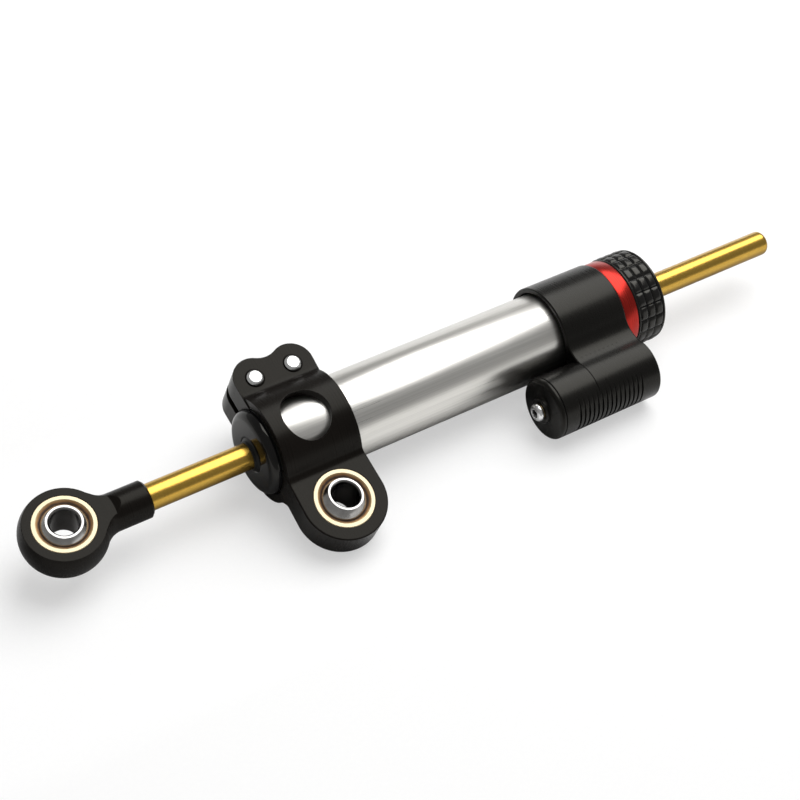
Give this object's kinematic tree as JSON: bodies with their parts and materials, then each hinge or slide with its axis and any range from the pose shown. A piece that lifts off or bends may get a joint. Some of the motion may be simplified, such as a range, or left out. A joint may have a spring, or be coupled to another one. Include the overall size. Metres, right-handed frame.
{
  "type": "motorcycle steering damper",
  "caption": "Linear hydraulic steering damper: through rod in a tube with a tube clamp, ball joints, reservoir and a click adjuster knob.",
  "frame": {"origin": "centre of the rod-end ball", "axes": "+X along the rod to its free tip, +Z along the rod-end bore, +Y away from the reservoir"},
  "size_m": [0.2646, 0.0641, 0.032],
  "materials": {
    "anodised_black": "black anodised, satin",
    "gold_rod": "polished with a gold hard coat",
    "brushed_tube": "brushed round, clear anodised",
    "liner": "honed",
    "bearing_steel": "turned",
    "ball_steel": "polished",
    "steel_fasteners": "zinc plated",
    "spring_steel": "plain",
    "red_anodised": "red anodised",
    "rubber_seals": "matte",
    "bronze": "sintered bronze",
    "slide_plastic": "filled slide plastic",
    "inner_aluminium": "machined",
    "brass": "turned"
  },
  "bodies": {
    "damper_body": {"main_tube": "brushed_tube", "cylinder_liner": "liner", "front_gland": "anodised_black", "front_gland_o_ring": "rubber_seals", "front_rod_seal": "rubber_seals", "front_rod_bush": "bronze", "front_wiper": "rubber_seals", "rear_housing": "anodised_black", "tube_o_ring": "rubber_seals", "rear_rod_bush": "bronze", "rear_rod_seal": "rubber_seals", "rear_seal_clip": "spring_steel", "reservoir_cap": "anodised_black", "reservoir_cap_o_ring": "rubber_seals", "fill_screw": "steel_fasteners", "fill_screw_seal": "brass", "compensator_spring": "spring_steel", "valve_seat": "brass", "needle_spring": "spring_steel", "detent_ring": "red_anodised", "detent_ring_screws": "steel_fasteners", "detent_balls": "ball_steel", "detent_springs": "spring_steel", "knob_o_ring": "rubber_seals", "knob_washer": "slide_plastic", "knob_clip": "spring_steel", "rear_wiper": "rubber_seals"},
    "piston_group": {"piston": "inner_aluminium", "piston_ring": "slide_plastic", "piston_o_ring": "rubber_seals"},
    "rod": {"piston_rod": "gold_rod", "rod_clips": "spring_steel", "rod_end_housing": "anodised_black"},
    "rod_end_bearing": {"rod_end_race": "bearing_steel"},
    "rod_end_ball": {"rod_end_ball": "ball_steel"},
    "clamp": {"clamp_body": "anodised_black", "clamp_bolts": "steel_fasteners", "clamp_washers": "steel_fasteners"},
    "clamp_bearing": {"clamp_race": "bearing_steel"},
    "clamp_ball": {"clamp_ball": "ball_steel"},
    "adjuster": {"adjuster_knob": "anodised_black"},
    "needle": {"metering_needle": "brass", "needle_o_ring": "rubber_seals"},
    "compensator": {"compensator_piston": "inner_aluminium", "compensator_o_ring": "rubber_seals"}
  },
  "joints": [
    {"name": "rod_slide", "type": "slide", "parent": "damper_body", "child": "piston_group", "axis": [1, 0, 0], "range_m": [-0.0479, 0.0271]},
    {"name": "rod_twist", "type": "hinge", "parent": "piston_group", "child": "rod", "pos_m": [0.1314, 0, 0], "axis": [1, 0, 0], "continuous": true},
    {"name": "rod_end_swivel", "type": "hinge", "parent": "rod", "child": "rod_end_bearing", "pos_m": [0, 0, 0], "axis": [0, 0, 1], "continuous": true},
    {"name": "rod_end_tilt", "type": "hinge", "parent": "rod_end_bearing", "child": "rod_end_ball", "pos_m": [0, 0, 0], "axis": [0, 1, 0], "range_deg": [-13, 13]},
    {"name": "clamp_slide", "type": "slide", "parent": "damper_body", "child": "clamp", "axis": [1, 0, 0], "range_m": [0, 0.0558]},
    {"name": "clamp_swivel", "type": "hinge", "parent": "clamp", "child": "clamp_bearing", "pos_m": [0.07365, -0.02529, -0.00068], "axis": [0, -0.153, 0.9882], "continuous": true},
    {"name": "clamp_tilt", "type": "hinge", "parent": "clamp_bearing", "child": "clamp_ball", "pos_m": [0.07365, -0.02529, -0.00068], "axis": [-0.7501, 0.6535, 0.1012], "range_deg": [-20.7, 5.3]},
    {"name": "knob_turn", "type": "hinge", "parent": "damper_body", "child": "adjuster", "pos_m": [0.1938, 0, 0], "axis": [1, 0, 0], "range_deg": [-144, 144]},
    {"name": "needle_travel", "type": "slide", "parent": "damper_body", "child": "needle", "axis": [1, 0, 0], "range_m": [-0.00061, 0.00061], "deforming": ["needle_spring"]},
    {"name": "compensator_travel", "type": "slide", "parent": "damper_body", "child": "compensator", "axis": [1, 0, 0], "range_m": [-0.004, 0.004], "deforming": ["compensator_spring"]}
  ],
  "couplings": [
    {"joint": "needle_travel", "follows": "knob_turn", "m_per_rad": -0.00023873}
  ]
}
